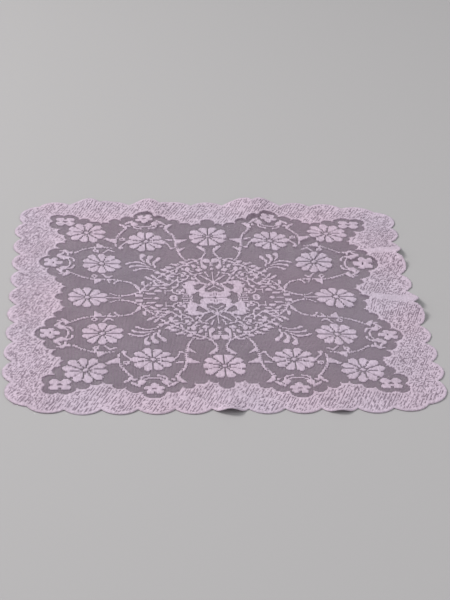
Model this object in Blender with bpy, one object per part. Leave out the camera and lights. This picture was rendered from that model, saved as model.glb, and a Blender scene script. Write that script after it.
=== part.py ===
"""A machine-knitted lace doily, cut to 448 x 452 mm, lying flat.

One piece of cloth: an even net ground, a wide scalloped border and the flowers, vines and medallion stand
proud of the net. It was laid down a little out of true. Three folds lift its far edge, two its right edge, and
two lobes of its near edge curl up. X runs along the near edge, Y away from it, Z up. The tables are in
millimetres and give one quarter of the pattern, which is mirrored in both axes.
"""

import math

import bmesh
import bpy
from mathutils.geometry import delaunay_2d_cdt

MM = 0.001

NET_THICKNESS = 1.0
PATTERN_RISE = 0.6

# Scallops: eleven lobes on the near and far edges, nine on each side, and one round each corner.
LOBE_WIDTH_X = 35.86
LOBES_TO_CORNER_X = 6
CUSP_Y = 217.5
LAST_CUSP_DROP = 6.0
LOBE_WIDTH_Y = 37.6
LOBES_TO_CORNER_Y = 5
CUSP_X = 214.7
LOBE_BULGE_Y = 8.6
LOBE_BULGE_X = 9.3
CORNER_BULGE = 13.0
LOBE_STEPS = 6

# Where the border's cloth meets the net: notches, and how far the net bulges between each and the next.
NET_EDGE = (  # x, y, bulge
    (6.8, 170.0, 4.0),
    (18.0, 165.5, 6.0),
    (33.0, 171.5, 8.0),
    (45.5, 178.5, 6.5),
    (61.0, 187.0, 12.5),
    (85.5, 187.0, 6.5),
    (100.5, 178.5, 8.0),
    (113.0, 171.5, 4.5),
    (124.0, 168.5, 5.0),
    (136.5, 174.0, 7.0),
    (150.0, 178.5, 7.5),
    (168.0, 188.5, 10.0),
    (180.0, 174.5, 10.0),
    (169.0, 157.5, 7.5),
    (165.5, 141.5, 4.0),
    (160.0, 130.5, 3.0),
    (166.0, 124.0, 6.5),
    (171.5, 110.0, 6.5),
    (182.5, 92.0, 11.5),
    (182.5, 63.0, 6.5),
    (171.5, 45.0, 6.5),
    (166.0, 31.0, 2.6),
    (162.5, 22.5, 4.5),
    (165.5, 7.5, 9.0),
)
NET_BULGE_ON_Y_AXIS = 13.0
NET_EDGE_STEPS = 3

DAISY_PETALS = 10
DAISY_NOTCH, DAISY_SHOULDER = 0.42, 0.94  # shares of the radius
BLOSSOM_NOTCH, BLOSSOM_SHOULDER = 0.55, 0.97
SHOULDER_SIDE = 0.55  # of the way from a petal's middle to the gap beside it
DAISIES = (  # x, y, radius
    (141.0, 148.0, 22.0),
    (73.0, 128.5, 21.5),
    (123.5, 77.5, 21.0),
    (0.0, 141.5, 21.5),
    (139.5, 0.0, 21.0),
)
BLOSSOMS = (  # x, y, radius, petals, angle of the first petal in degrees
    (165.5, 174.5, 11.0, 4, 45.0),
    (73.0, 181.5, 11.0, 5, 90.0),
    (179.0, 77.5, 11.5, 5, 180.0),
)

# Vines and the strokes of the medallion, each a ribbon along its points.
STROKES = (  # width, points
    (2.4, ((95, 161), (103, 148), (107, 136), (107, 118))),
    (2.4, ((50, 161), (42, 147), (39.5, 134), (38, 118), (35, 101), (28, 86))),
    (2.4, ((28, 86), (21.5, 89.5), (10, 92), (5.5, 104), (7, 114), (13, 118))),
    (2.4, ((157, 54), (147, 47), (135, 43), (115, 41), (99, 38), (88, 29), (85, 19))),
    (2.4, ((157, 101), (149, 106), (138, 113), (124, 115), (111, 114))),
    (2.4, ((85, 19), (92, 12), (104, 9), (115, 12))),
    (2.6, ((85, 19), (78, 34), (70, 49), (58, 62), (43, 75), (28, 86))),
    (3.0, ((66, 163.5), (73, 162), (80, 163.5))),
    (3.0, ((161, 70.5), (159.5, 77.5), (161, 84.5))),
    (3.2, ((70, 70), (77, 73), (88, 68.5))),
    (3.2, ((73, 76), (82, 77.5), (93.5, 75))),
    (3.2, ((78, 82.5), (86, 85.5), (97, 81.5))),
    (3.2, ((64, 71), (66.5, 81), (59.5, 93.5))),
    (3.2, ((70, 77.5), (72.5, 88), (67.5, 98.5))),
    (3.2, ((76.5, 87.5), (80, 94.5), (77, 101.5))),
    (3.0, ((25, 5), (24, 9), (13, 24), (0, 36), (0, 40), (14, 51), (17, 58), (6, 61))),
    (2.6, ((0, 40), (0, 57))),
    (2.6, ((39, 8), (45.5, 13), (45, 20), (40, 27), (38, 38), (31, 46))),
)

# Leaves, buds and the solid parts of the medallion.
BLOBS = (  # x, y, half length, half width, angle of the length in degrees
    (113, 132, 6.0, 2.6, 30),
    (33, 133, 6.0, 2.6, 155),
    (131, 37, 6.0, 2.6, 65),
    (128, 120, 6.0, 2.6, 290),
    (92, 174, 6.0, 2.2, 325),
    (54, 174, 6.0, 2.2, 35),
    (98.5, 166, 4.0, 2.2, 30),
    (47.5, 166, 4.0, 2.2, 150),
    (171, 97, 6.0, 2.2, 125),
    (171, 58, 6.0, 2.2, 55),
    (162.5, 103, 4.0, 2.2, 60),
    (162.5, 52, 4.0, 2.2, 120),
    (9, 8.5, 8.2, 6.5, 0),
    (25.5, 17, 6.5, 6.0, 90),
    (26.5, 27, 6.5, 6.0, 90),
    (25.5, 36, 6.0, 6.0, 90),
    (46, 0, 6.5, 4.6, 90),
    (62, 14.5, 4.5, 3.2, 0),
    (53, 31, 4.5, 3.0, 30),
    (66, 0, 4.5, 2.6, 0),
    (14.5, 68, 3.6, 3.2, 0),
    (28, 66, 5.0, 3.0, 80),
    (5.5, 87, 6.0, 4.4, 70),
)


def arc(start, end, bulge, steps):
    """Points of a circular arc from start up to but not including end, bulging to its left."""
    chord = math.dist(start, end)
    along = ((end[0] - start[0]) / chord, (end[1] - start[1]) / chord)
    outward = (-along[1], along[0])
    radius = (chord * chord / 4 + bulge * bulge) / (2 * bulge)
    half_angle = math.asin(min(1.0, chord / (2 * radius)))
    if bulge > radius:
        half_angle = math.pi - half_angle
    middle = ((start[0] + end[0]) / 2, (start[1] + end[1]) / 2)
    centre = [middle[i] + outward[i] * (bulge - radius) for i in (0, 1)]
    points = []
    for step in range(steps):
        angle = half_angle * (2 * step / steps - 1)
        sideways, forward = radius * math.sin(angle), radius * math.cos(angle)
        points.append(tuple(centre[i] + along[i] * sideways + outward[i] * forward for i in (0, 1)))
    return points


def mirrored_ring(quarter, bulge_on_y_axis):
    """The notches of a closed outline, clockwise from the Y axis, each with the bulge to the next."""
    bulges_back = [bulge_on_y_axis] + [row[2] for row in quarter[:-1]]
    forward = list(quarter)
    back = [(x, y, bulge) for (x, y, _), bulge in zip(quarter, bulges_back)][::-1]
    ring = forward + [(x, -y, bulge) for x, y, bulge in back]
    return ring + [(-x, -y, bulge) for x, y, bulge in forward] + [(-x, y, bulge) for x, y, bulge in back]


def outline(quarter, bulge_on_y_axis, steps):
    ring = mirrored_ring(quarter, bulge_on_y_axis)
    points = []
    for (x, y, bulge), (next_x, next_y, _) in zip(ring, ring[1:] + ring[:1]):
        points += arc((x, y), (next_x, next_y), bulge, steps)
    return points


def scallop_quarter():
    """The cusps between the lobes of one quarter, with the bulge of the lobe after each."""
    cusps = []
    for lobe in range(LOBES_TO_CORNER_X):
        last = lobe == LOBES_TO_CORNER_X - 1
        y = CUSP_Y - (LAST_CUSP_DROP if last else 0)
        cusps.append(((lobe + 0.5) * LOBE_WIDTH_X, y, CORNER_BULGE if last else LOBE_BULGE_Y))
    for lobe in reversed(range(LOBES_TO_CORNER_Y)):
        cusps.append((CUSP_X, (lobe + 0.5) * LOBE_WIDTH_Y, LOBE_BULGE_X))
    return cusps


def flower(x, y, radius, petals, first_angle, notch, shoulder):
    """A rosette: petals with blunt tips, parted by notches. Notch and shoulder are shares of the radius."""
    half = math.pi / petals
    points = []
    for petal in range(petals):
        middle = first_angle + 2 * half * petal
        for side, reach in ((-1, notch), (-SHOULDER_SIDE, shoulder), (0, 1), (SHOULDER_SIDE, shoulder)):
            angle = middle + side * half
            points.append((x + radius * reach * math.cos(angle), y + radius * reach * math.sin(angle)))
    return points


def ribbon(width, points):
    """A strip along the points, with pointed ends."""
    left, right = [], []
    for i, (x, y) in enumerate(points):
        before, after = points[max(i - 1, 0)], points[min(i + 1, len(points) - 1)]
        length = math.dist(before, after)
        nx, ny = (before[1] - after[1]) / length, (after[0] - before[0]) / length
        half = width / 2 if 0 < i < len(points) - 1 else width / 3
        left.append((x + nx * half, y + ny * half))
        right.append((x - nx * half, y - ny * half))
    return left + right[::-1]


def ellipse(x, y, half_length, half_width, degrees, sides=6):
    turn = math.radians(degrees)
    along_x, along_y = math.cos(turn), math.sin(turn)
    points = []
    for side in range(sides):
        angle = 2 * math.pi * side / sides
        u, v = half_length * math.cos(angle), half_width * math.sin(angle)
        points.append((x + u * along_x - v * along_y, y + u * along_y + v * along_x))
    return points


def anticlockwise(shape):
    doubled_area = sum(a[0] * b[1] - b[0] * a[1] for a, b in zip(shape, shape[1:] + shape[:1]))
    return shape if doubled_area > 0 else shape[::-1]


ON_AXIS = 1e-6


def mirrored(shape):
    """The shape in all four quarters, or in two where it lies across an axis."""
    on_x_axis = abs(sum(y for _, y in shape)) < ON_AXIS
    on_y_axis = abs(sum(x for x, _ in shape)) < ON_AXIS
    signs = [(sx, sy) for sx in (1, -1) for sy in (1, -1)]
    if on_x_axis:
        signs = [(sx, sy) for sx, sy in signs if sy > 0]
    if on_y_axis:
        signs = [(sx, sy) for sx, sy in signs if sx > 0]
    return [[(sx * x, sy * y) for x, y in shape] for sx, sy in signs]


def pattern_shapes():
    """Every raised shape inside the net, as an outline."""
    shapes = []
    for x, y, radius in DAISIES:
        toward_edge = math.pi / 2 if x < y else 0.0
        first = toward_edge + math.pi / DAISY_PETALS
        shapes += mirrored(flower(x, y, radius, DAISY_PETALS, first, DAISY_NOTCH, DAISY_SHOULDER))
    for x, y, radius, petals, degrees in BLOSSOMS:
        first = math.radians(degrees)
        shapes += mirrored(flower(x, y, radius, petals, first, BLOSSOM_NOTCH, BLOSSOM_SHOULDER))
    for width, points in STROKES:
        shapes += mirrored(ribbon(width, points))
    for x, y, half_length, half_width, degrees in BLOBS:
        shapes += mirrored(ellipse(x, y, half_length, half_width, degrees))
    return shapes


# Folds that run in from the edge, and lobes that curl up.
FOLDS = (  # x, y at the edge, inward x, inward y, half width, reach, height
    (-132.0, 226.0, 0, -1, 27.0, 40.0, 5.5),
    (-63.0, 226.0, 0, -1, 25.0, 60.0, 6.0),
    (53.8, 226.0, 0, -1, 37.0, 66.0, 9.0),
    (224.0, 94.0, -1, 0, 29.0, 60.0, 7.0),
    (224.0, -18.8, -1, 0, 34.0, 66.0, 8.5),
    (0.0, -226.0, 0, 1, 17.0, 20.0, 6.5),
    (108.0, -226.0, 0, 1, 15.0, 15.0, 4.0),
)
FOLD_ROWS_ACROSS = 3  # rows of points on each side of a crest
FOLD_ROWS_INWARD = 6
FOLD_FIRST_ROW = 1.5  # from the line of the crowns

# Where the cloth was drawn aside as it was laid down: most at the place given, and less towards its reach.
PULLS = (  # x, y, reach, moved in x, moved in y
    (-60.0, 70.0, 200.0, 0.0, -8.0),
    (225.0, 20.0, 230.0, 0.0, -8.0),
    (205.0, 215.0, 110.0, 11.0, -10.0),
    (50.0, 240.0, 140.0, 6.0, 0.0),
    (135.0, 35.0, 110.0, -9.0, 0.0),
)


def lift(x, y):
    """How high the folds hold the cloth off the surface."""
    height = 0.0
    for edge_x, edge_y, inward_x, inward_y, half_width, reach, crest in FOLDS:
        inward = (x - edge_x) * inward_x + (y - edge_y) * inward_y
        across = abs((x - edge_x) * inward_y) + abs((y - edge_y) * inward_x)
        if inward < reach and across < half_width:
            fade = math.cos(math.pi / 2 * max(inward, 0.0) / reach) ** 2
            height += crest * fade * math.cos(math.pi / 2 * across / half_width) ** 2
    return height


def fold_points():
    """Points that let the cloth bend where a fold lifts it, and that hold it down at the fold's foot."""
    points = []
    for edge_x, edge_y, inward_x, inward_y, half_width, reach, _ in FOLDS:
        for row in range(FOLD_ROWS_INWARD + 1):
            inward = FOLD_FIRST_ROW + (reach - FOLD_FIRST_ROW) * row / FOLD_ROWS_INWARD
            for column in range(-FOLD_ROWS_ACROSS, FOLD_ROWS_ACROSS + 1):
                across = half_width * column / FOLD_ROWS_ACROSS
                x = edge_x + inward * inward_x - across * inward_y
                y = edge_y + inward * inward_y + across * inward_x
                points.append((x, y))
    return points


def pulled(x, y):
    """Where a point of the even pattern came to lie."""
    to_x, to_y = x, y
    for at_x, at_y, reach, by_x, by_y in PULLS:
        away = min(math.dist((x, y), (at_x, at_y)) / reach, 1.0)
        share = math.cos(math.pi / 2 * away) ** 2
        to_x += by_x * share
        to_y += by_y * share
    return to_x, to_y


def lay_down(mesh, edge):
    """Pull and fold the flat cloth, with the middle of its outline kept on the axes."""
    across, along = zip(*(pulled(x, y) for x, y in edge))
    middle_x, middle_y = (min(across) + max(across)) / 2, (min(along) + max(along)) / 2
    for vertex in mesh.verts:
        x, y, z = vertex.co
        to_x, to_y = pulled(x, y)
        vertex.co = (to_x - middle_x, to_y - middle_y, z + lift(x, y))


def raise_points(mesh, geometry, height):
    corners = [part for part in geometry if isinstance(part, bmesh.types.BMVert)]
    bmesh.ops.translate(mesh, vec=(0, 0, height), verts=corners)


def doily_mesh():
    edge = outline(scallop_quarter(), LOBE_BULGE_Y, LOBE_STEPS)
    net = outline(NET_EDGE, NET_BULGE_ON_Y_AXIS, NET_EDGE_STEPS)
    points, polygons = [], []
    for shape in [edge, net] + pattern_shapes():
        polygons.append(list(range(len(points), len(points) + len(shape))))
        points += anticlockwise(shape)
    points += fold_points()
    flat = delaunay_2d_cdt(points, [], polygons, 1, 1e-4)
    vertices, faces, covered_by = flat[0], flat[2], flat[5]

    mesh = bmesh.new()
    raised = mesh.faces.layers.int.new("raised")
    corners = [mesh.verts.new((x, y, 0)) for x, y in vertices]
    for face, owners in zip(faces, covered_by):
        made = mesh.faces.new([corners[i] for i in face])
        made[raised] = 1 not in owners or any(owner > 1 for owner in owners)
    top = bmesh.ops.extrude_face_region(mesh, geom=mesh.faces[:], use_keep_orig=True)["geom"]
    raise_points(mesh, top, NET_THICKNESS)
    pattern = [f for f in top if isinstance(f, bmesh.types.BMFace) and f[raised]]
    risen = bmesh.ops.extrude_face_region(mesh, geom=pattern)["geom"]
    raise_points(mesh, risen, PATTERN_RISE)
    bmesh.ops.delete(mesh, geom=pattern, context="FACES_KEEP_BOUNDARY")
    bmesh.ops.delete(mesh, geom=[v for v in mesh.verts if not v.link_faces], context="VERTS")
    lay_down(mesh, edge)
    bmesh.ops.scale(mesh, vec=(MM, MM, MM), verts=mesh.verts)
    bmesh.ops.recalc_face_normals(mesh, faces=mesh.faces)
    return mesh


def main():
    for old in list(bpy.data.objects):
        bpy.data.objects.remove(old)
    mesh = doily_mesh()
    data = bpy.data.meshes.new("lace_doily")
    mesh.to_mesh(data)
    mesh.free()
    doily = bpy.data.objects.new("lace_doily", data)
    collection = bpy.data.collections.new("lace doily")
    bpy.context.scene.collection.children.link(collection)
    collection.objects.link(doily)
    cloth = bpy.data.materials.new("lilac_white_lace")
    cloth.use_nodes = True
    shader = cloth.node_tree.nodes["Principled BSDF"]
    shader.inputs["Base Color"].default_value = (0.62, 0.54, 0.61, 1)
    shader.inputs["Roughness"].default_value = 0.85
    data.materials.append(cloth)


main()
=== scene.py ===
"""The looks of a machine-knitted lace doily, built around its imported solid.

The middle of the cloth is charted on its own mesh of 1.4 mm columns, as such lace is knitted: each cell is
net, dense cloth or half-filled. The border has a mesh of its own, whose columns lean, with half-filled
strokes up some of them. Border and motifs are closed relief meshes, and the net is real thread, up the
columns and across the rows of its cells. All of it rides on the folds of the solid, and on a few low
creases that carry them inward. The tables are in millimetres. Those of the pattern give one quarter, which
is mirrored in both axes; those of the folds, creases, pulls and loose ends give the whole cloth. The object
itself is in metres.
"""

import math

import bpy
import numpy as np
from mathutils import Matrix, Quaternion, Vector


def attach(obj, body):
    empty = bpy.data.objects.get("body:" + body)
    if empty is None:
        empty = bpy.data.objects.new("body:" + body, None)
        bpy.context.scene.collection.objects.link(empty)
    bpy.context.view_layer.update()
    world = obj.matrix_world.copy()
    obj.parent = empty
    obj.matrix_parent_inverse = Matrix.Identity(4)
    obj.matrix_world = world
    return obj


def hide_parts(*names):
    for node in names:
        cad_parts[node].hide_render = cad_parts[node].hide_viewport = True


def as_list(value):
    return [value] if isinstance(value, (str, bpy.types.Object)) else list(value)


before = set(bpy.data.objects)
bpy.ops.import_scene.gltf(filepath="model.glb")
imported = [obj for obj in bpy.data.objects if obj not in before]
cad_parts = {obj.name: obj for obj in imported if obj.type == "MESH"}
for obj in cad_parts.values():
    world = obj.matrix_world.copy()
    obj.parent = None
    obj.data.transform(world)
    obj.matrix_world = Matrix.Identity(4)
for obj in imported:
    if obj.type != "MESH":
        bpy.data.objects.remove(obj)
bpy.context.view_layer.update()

MM = 0.001

# ---- the cloth's own mesh
COLUMN, ROW = 1.4, 1.9  # pitch of the middle's columns and rows
HALF_COLUMNS, HALF_ROWS = 140, 106  # to each side of the middle
NET, DENSE, OPEN = 1, 2, 3  # kinds of cell, of which OPEN is half-filled; 0 is outside the net
BORDER_COLUMN, BORDER_ROW = 1.2, 1.75
BORDER_LEAN = 0.42  # to the right, for each millimetre up
BORDER_HALF_COLUMNS, BORDER_HALF_ROWS = 268, 130

# ---- outlines, folds and pulls, as in the solid
LOBE_WIDTH_X = 35.86
LOBES_TO_CORNER_X = 6
CUSP_Y = 217.5
LAST_CUSP_DROP = 6.0
LOBE_WIDTH_Y = 37.6
LOBES_TO_CORNER_Y = 5
CUSP_X = 214.7
LOBE_BULGE_Y = 8.6
LOBE_BULGE_X = 9.3
CORNER_BULGE = 13.0
LOBE_STEPS = 24

NET_EDGE = (  # x, y, bulge
    (6.8, 170, 4),
    (18, 165.5, 6),
    (33, 171.5, 8),
    (45.5, 178.5, 6.5),
    (61, 187, 12.5),
    (85.5, 187, 6.5),
    (100.5, 178.5, 8),
    (113, 171.5, 4.5),
    (124, 168.5, 5),
    (136.5, 174, 7),
    (150, 178.5, 7.5),
    (168, 188.5, 10),
    (180, 174.5, 10),
    (169, 157.5, 7.5),
    (165.5, 141.5, 4),
    (160, 130.5, 3),
    (166, 124, 6.5),
    (171.5, 110, 6.5),
    (182.5, 92, 11.5),
    (182.5, 63, 6.5),
    (171.5, 45, 6.5),
    (166, 31, 2.6),
    (162.5, 22.5, 4.5),
    (165.5, 7.5, 9),
)
NET_BULGE_ON_Y_AXIS = 13.0
NET_EDGE_STEPS = 10

FOLDS = (  # x, y at the edge, inward x, inward y, half width, reach, height
    (-132, 226, 0, -1, 27, 40, 5.5),
    (-63, 226, 0, -1, 25, 60, 6),
    (53.8, 226, 0, -1, 37, 66, 9),
    (224, 94, -1, 0, 29, 60, 7),
    (224, -18.8, -1, 0, 34, 66, 8.5),
    (0, -226, 0, 1, 17, 20, 6.5),
    (108, -226, 0, 1, 15, 15, 4),
)

PULLS = (  # x, y, reach, moved in x, moved in y
    (-60, 70, 200, 0, -8),
    (225, 20, 230, 0, -8),
    (205, 215, 110, 11, -10),
    (50, 240, 140, 6, 0),
    (135, 35, 110, -9, 0),
)

# Low soft ridges that sink toward their end, which the solid leaves out.
CREASES = (  # start x, y, end x, y, half width, height
    (178, 92, 112, 84, 26, 2.6),
    (178, -6, 108, 8, 29, 2.8),
    (58, 176, 54, 104, 24, 2),
    (114, 132, 118, 52, 36, 2.4),
    (-66, 172, -72, 110, 20, 1.6),
)
CREASE_FADE = 0.85  # how much of the way to nothing they sink, as a share of a quarter wave

# ---- motifs
DAISIES = (  # x, y, radius, angle of the gap that parts its first two petals, angle of its half-filled gap
    (141, 148.5, 23.2, 45, 45),
    (72.5, 129, 22.7, 90, 54),
    (123.5, 77.5, 22.4, 0, -72),
    (0, 141.5, 23.4, 90, 18),
    (139.5, 0, 22.4, 0, 144),
)
PETALS = 10
PETAL_FOOT = 4.6  # from the daisy's middle
PETAL_WIDEST = 0.68  # of the way from its foot to its tip
PETAL_FOOT_REACH = 1.3  # of the way from there to its foot, where its lower half would come to a point
PETAL_GAP = 1.7
PETAL_HALF_WIDTH = 5.1
PETAL_ROUNDNESS = 2.15
PETAL_UNEVENNESS = (0.06, 0.10)  # of its length and width
PETAL_LONGEST = 0.6  # of the unevenness, by which a petal may be longer; it may be shorter by all of it
PETAL_NOTCHES = (0.35, 4.1)  # depth and spacing along its sides
DAISY_HEART = 2.7
SOFT_GAP_REACH = 0.8  # of the radius, to which the half-filled gap runs

CORNER_BLOSSOM = (165.9, 174.3)
CORNER_LOBE = (5.8, 5.0, 5.2, 4.8)  # x, y, half length, half width of one of its four lobes
CORNER_BODY = (6.4, 4.3)  # half length and half width of the block between them
BLOSSOM_SLIT = (2.2, 0.8)  # half length and half width of the slits in the middle of a blossom
OVAL_BLOSSOMS = (  # x, y, outward angle in degrees, stretch outward
    (72.5, 181.8, 90, 1),
    (177.6, 77.3, 0, 1.14),
)
OVAL_LOBES = (  # v, u, half length, half width, mirrored in v; the last is the body
    (4.5, 5.8, 4.1, 4.2),
    (0, -5.6, 4.2, 3.9),
    (7.3, -0.9, 3.3, 2.9),
    (0, 0, 6.2, 4.8),
)
OVAL_SLIT_U = -0.2
OVAL_NOTCH = (0.9, 5.4)  # its half width, and the u from which it parts the outward lobes

BEAD_LENGTH = 3.7  # vines swell and thin along their length
BEAD_SWELL = 1.5
MEDALLION_SWELL = 0.5
VINES = (  # width, points
    (2.5, ((94.5, 160.5), (99, 153), (103.5, 145), (106.5, 136), (107.5, 127), (106.8, 117))),
    (2.6, ((49.5, 159.5), (44.5, 152), (40.5, 144), (38.5, 135), (37.5, 120), (35.5, 106), (32, 94),
           (28, 86))),
    (2.2, ((27.7, 85.7), (23.5, 89), (19.3, 89), (16.8, 84))),
    (2.3, ((14.3, 87.4), (10, 92.4), (6.7, 99), (5, 106), (5.9, 112.6), (9.2, 116.8), (13.5, 118.6))),
    (2.3, ((158, 55), (150, 49.5), (138, 43), (126, 41.5), (112.6, 41.2), (102.5, 39.5), (92.4, 35.3),
           (86, 27))),
    (2.3, ((86, 27), (83.5, 20), (81.8, 13))),
    (2.3, ((157, 101.3), (151, 102.8), (145, 108.4), (137.8, 112.4), (126, 115), (116, 114.6),
           (110.5, 113.4))),
    (2.3, ((82.5, 15.5), (88.5, 10), (94.5, 6.6), (101, 5), (106.5, 4.8), (111.5, 7.4),
           (115.5, 10.6))),
    (2, ((105, 0), (118.5, 0))),
    (2.5, ((81.8, 13), (76.8, 24), (72.4, 31), (65.7, 39.6), (61.3, 47.3), (56, 54), (50, 59.6))),
    (2.5, ((50, 59.6), (44, 64.5), (38.5, 69.5), (33, 74.5), (25, 80), (16, 86))),
    (2.3, ((57, 56), (62, 61), (68, 67))),
)

TWIGS = (  # width, points
    (2.6, ((122.6, 53.8), (117.6, 46), (112.6, 49.6))),
    (2.6, ((121, 102.5), (116, 109), (109, 105.8))),
    (2, ((102.5, 114), (100.8, 121), (96.6, 126.8))),
    (2, ((44.5, 114), (45.4, 119.3), (48.7, 126.8))),
    (2.2, ((112.6, 41), (116, 38.5), (115, 34.5))),
    (2.2, ((104, 39.5), (108.5, 36), (110, 32.5))),
    (2.2, ((132, 113.5), (129.5, 108), (127.5, 103.5))),
)

LEAF_TIP = 0.22  # width of a leaf's blunt tip, as a share of its width at the base
LEAVES = (  # tip x, y, base x, y, width at the base
    (26.5, 117.5, 35.8, 109, 6),
    (14, 118.5, 5.5, 109.5, 5.5),
    (120, 136, 107.3, 130.5, 11.5),
    (25, 135.5, 37.9, 130.5, 11.5),
    (131.4, 31.5, 127.5, 41.5, 10.5),
    (128.4, 123.6, 124.6, 114.2, 10.5),
    (102.5, 172.5, 94.5, 161, 4.6),
    (40.5, 171.5, 49.5, 160.5, 4.6),
    (171, 104.5, 157.5, 100.8, 4.6),
    (171.5, 51, 158.5, 55.5, 4.6),
)

TWIG_BUDS = (  # x, y, half length, half width, angle in degrees
    (101.6, 114.6, 2.8, 2.6, 0),
    (43, 115.2, 2.6, 2.6, 0),
    (44.8, 134.4, 4.4, 1.9, 10),
)

RINGS = (  # x, y, radius of the ring's middle, its width
    (131.9, 48.7, 2.6, 2),
    (130, 107, 2.4, 2),
    (99.5, 135.2, 2.6, 2.2),
)

# Round each oval blossom: v runs across and u outward from its middle, mirrored in v.
BLOSSOM_ARCS = (  # width, points (v, u)
    (2, ((0, -18.8), (4.8, -18.2), (9.5, -16))),
    (2.6, ((13, -14.5), (12.5, -19), (9, -22), (4.5, -23))),
)
BLOSSOM_LEAVES = (  # v, u, half length, half width, angle in degrees
    (12.3, -11.2, 4.9, 4.2, 60),
    (18.6, -7.2, 6.6, 2.2, -38),
    (26.5, -13.8, 5.2, 2.3, 38),
    (19.5, -16, 2.6, 1.8, 20),
)

SPRIGS = (  # width at the start and at the end, radius of the bud there, points
    (2.1, 3.4, 2, ((67, 66), (74, 68.2), (80.5, 67.4), (87, 63.8))),
    (2.1, 3.6, 2.1, ((71, 72.5), (79, 74.8), (86, 74.2), (91.5, 72))),
    (2.1, 3.4, 2, ((74, 78), (82, 82.8), (90, 81.4), (95.2, 78.2))),
    (1.8, 5, 3.4, ((63.5, 70), (64.6, 81.5), (59.4, 90.4))),
    (1.8, 5.4, 3.8, ((67.8, 75), (71.6, 86), (68.2, 94.6))),
    (1.8, 5, 3.6, ((75, 82.5), (79.2, 91.5), (76.6, 98))),
)

# The medallion, from the middle outward. The heart is net, in a dense crown, with its point outward.
HEART_LOBE = (5.4, 18.4, 5.6)  # x, y, radius
HEART_WIDEST_Y = 20.5
HEART_TIP_Y = 33.2
HEART_OUTLINE = 2.3
AXIS_LINE_END = 14.0
MEDALLION_BLOBS = (  # x, y, half length, half width, angle in degrees
    (8.4, 7.6, 8.9, 6.6, 0),
    (2, 8, 3.6, 6.8, 0),
    (13, 14.6, 4.8, 4, 60),
    (25.6, 16.2, 6.6, 6.2, 0),
    (27.6, 25.6, 5.8, 6.4, 0),
    (24.8, 34, 7.2, 5, 0),
    (20.4, 33.6, 4, 3, 30),
    (13.4, 33.6, 6.6, 1.7, 24),
    (62.4, 16.6, 4.8, 3.1, 0),
    (64.6, 0, 3.2, 2.9, 0),
    (83, 5.8, 4.6, 3.6, 0),
    (70.6, 10.4, 5.2, 2.3, 12),
    (69.2, 21.6, 4.4, 2, 145),
    (63.5, 29.8, 4.3, 2.6, 0),
    (53.6, 31.2, 3.3, 3.7, 0),
    (57, 23.8, 4.2, 1.9, 8),
    (56.5, 36.4, 3.4, 1.7, 20),
    (59.6, 41.4, 2.6, 1.9, 10),
    (50.4, 45.2, 3.6, 2.7, 20),
    (48.8, 51.4, 3, 2.4, 80),
    (45.6, 40.4, 2.6, 1.7, 60),
    (54.6, 54.2, 2.6, 2, 120),
    (44.4, 57.4, 3.4, 1.9, 35),
    (34, 50.8, 3, 2.2, 100),
    (31.4, 57.4, 3.2, 1.8, 60),
    (27.4, 66, 5.6, 2.8, 90),
    (32.6, 66, 3, 1.7, 70),
    (14.4, 64.2, 3.9, 3.8, 0),
    (0, 66, 1.8, 2.6, 0),
    (20.8, 66.6, 1.2, 1.2, 0),
    (7.6, 66, 1.2, 1.2, 0),
    (19.8, 73.2, 4.6, 2.7, 70),
    (8.4, 72, 4.9, 3.3, 72),
    (4.9, 86, 4.3, 5.2, 0),
    (23.6, 55.4, 4, 1.9, 50),
    (22.4, 61, 2.8, 1.6, 20),
    (26, 75.4, 2.6, 1.7, 80),
    (84.4, 23.6, 4.8, 2.4, 61),
    (78.2, 34.2, 4.8, 2.5, 95),
    (72.4, 45.8, 5.4, 2.2, 46),
    (66.6, 50, 4.6, 2, 70),
    (61, 58.6, 3.6, 2.4, 20),
    (52.8, 65, 5, 2.1, 22),
    (47.6, 70.6, 4.7, 2, 14),
    (42, 76.6, 5.4, 2.1, 31),
    (32.2, 81.6, 4.4, 2.4, 20),
    (76, 17.6, 4.2, 1.7, 15),
    (66, 24.6, 3, 1.5, 10),
    (60.4, 35.6, 2.2, 1.5, 0),
    (64.6, 34.6, 2.2, 1.5, 40),
    (44.6, 50.2, 2.4, 1.9, 70),
    (33.6, 43.2, 3, 1.7, 20),
    (29.6, 75.2, 4, 1.7, 20),
    (50.4, 68.2, 3.4, 1.5, 10),
    (22.6, 44.6, 3.6, 1.8, 60),
    (28, 51, 2, 1.6, 0),
    (38, 78.4, 2.4, 1.6, 0),
    (25.4, 58.8, 2.2, 1.5, 60),
    (14.6, 70.6, 1.5, 2.6, 0),
    (45, 25.6, 2.4, 1.6, 50),
    (33.6, 27.6, 2.6, 1.6, 70),
    (34.2, 20.4, 1.8, 1.6, 0),
    (33.4, 35, 2.4, 0.95, 0),
    (35, 31.2, 2.2, 0.95, 0),
    (33.8, 23.8, 2, 0.95, 0),
)
MEDALLION_HOLES = (  # x, y, half length, half width, angle in degrees
    (17.2, 24.2, 5.8, 4.3, 104),
)
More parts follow.
